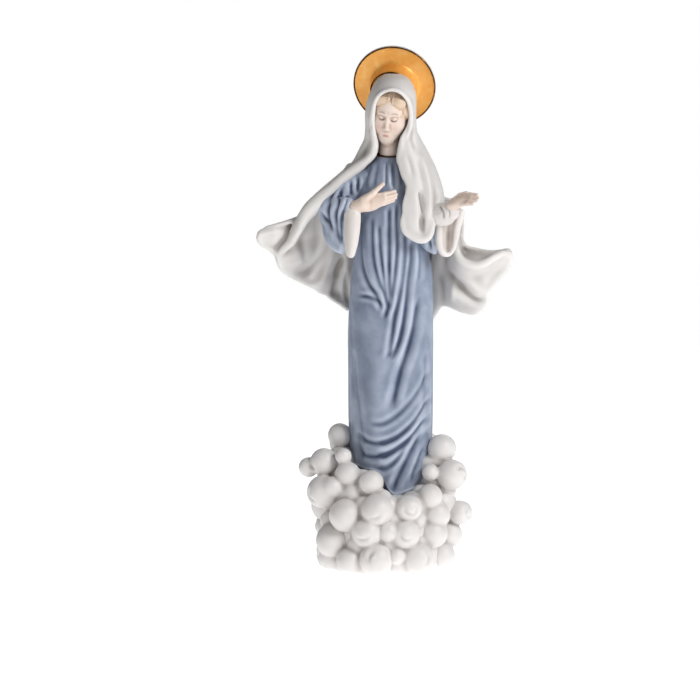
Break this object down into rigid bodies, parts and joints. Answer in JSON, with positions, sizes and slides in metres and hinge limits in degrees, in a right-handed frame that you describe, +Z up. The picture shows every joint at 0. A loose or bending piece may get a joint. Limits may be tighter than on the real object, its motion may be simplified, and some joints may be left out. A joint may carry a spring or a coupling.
{
  "type": "madonna figurine",
  "caption": "Porcelain figurine of a veiled standing woman with one hand on her chest and one held out, a gold halo behind her head and a base of clouds.",
  "frame": {"origin": "centre of the foot on the table plane, which is the middle of the bounding box's underside", "axes": "+Z up along the figure, -Y the way the figure faces, +X towards the figure's own left hand"},
  "size_m": [0.145, 0.0872, 0.295],
  "materials": {
    "cloud_glaze": "white satin glaze over porcelain",
    "veil_glaze": "pale grey-white satin glaze",
    "robe_glaze": "blue-grey underglaze colour, satin",
    "lining_glaze": "white satin glaze",
    "flesh_tint": "matt flesh tint",
    "hair_tint": "brown tint, matt",
    "gold_lustre": "fired gold lustre over glaze, glossy",
    "gilt_line": "dark gilt line, glossy"
  },
  "bodies": {
    "root": {"cloud_base": "cloud_glaze", "cloud_puffs_front_right": "cloud_glaze", "cloud_puffs_front_left": "cloud_glaze", "cloud_puffs_back_low": "cloud_glaze", "cloud_puffs_back_middle": "cloud_glaze", "cloud_puffs_back_high": "cloud_glaze", "cloud_puffs_back_upper": "cloud_glaze", "cloud_puffs_back_top": "cloud_glaze", "robe_skirt": "robe_glaze", "robe_bodice": "robe_glaze", "right_sleeve": "robe_glaze", "left_sleeve": "robe_glaze", "right_cuff": "lining_glaze", "left_cuff": "lining_glaze", "left_forearm": "lining_glaze", "right_hand": "flesh_tint", "left_hand": "flesh_tint", "head": "flesh_tint", "hair": "hair_tint", "collar_band": "gilt_line", "veil_hood": "veil_glaze", "veil_back": "veil_glaze", "veil_right_wing": "veil_glaze", "veil_left_wing": "veil_glaze", "veil_front_drape": "veil_glaze", "halo_disc": "gold_lustre", "halo_collar": "gold_lustre", "halo_rim": "gilt_line"}
  },
  "joints": []
}
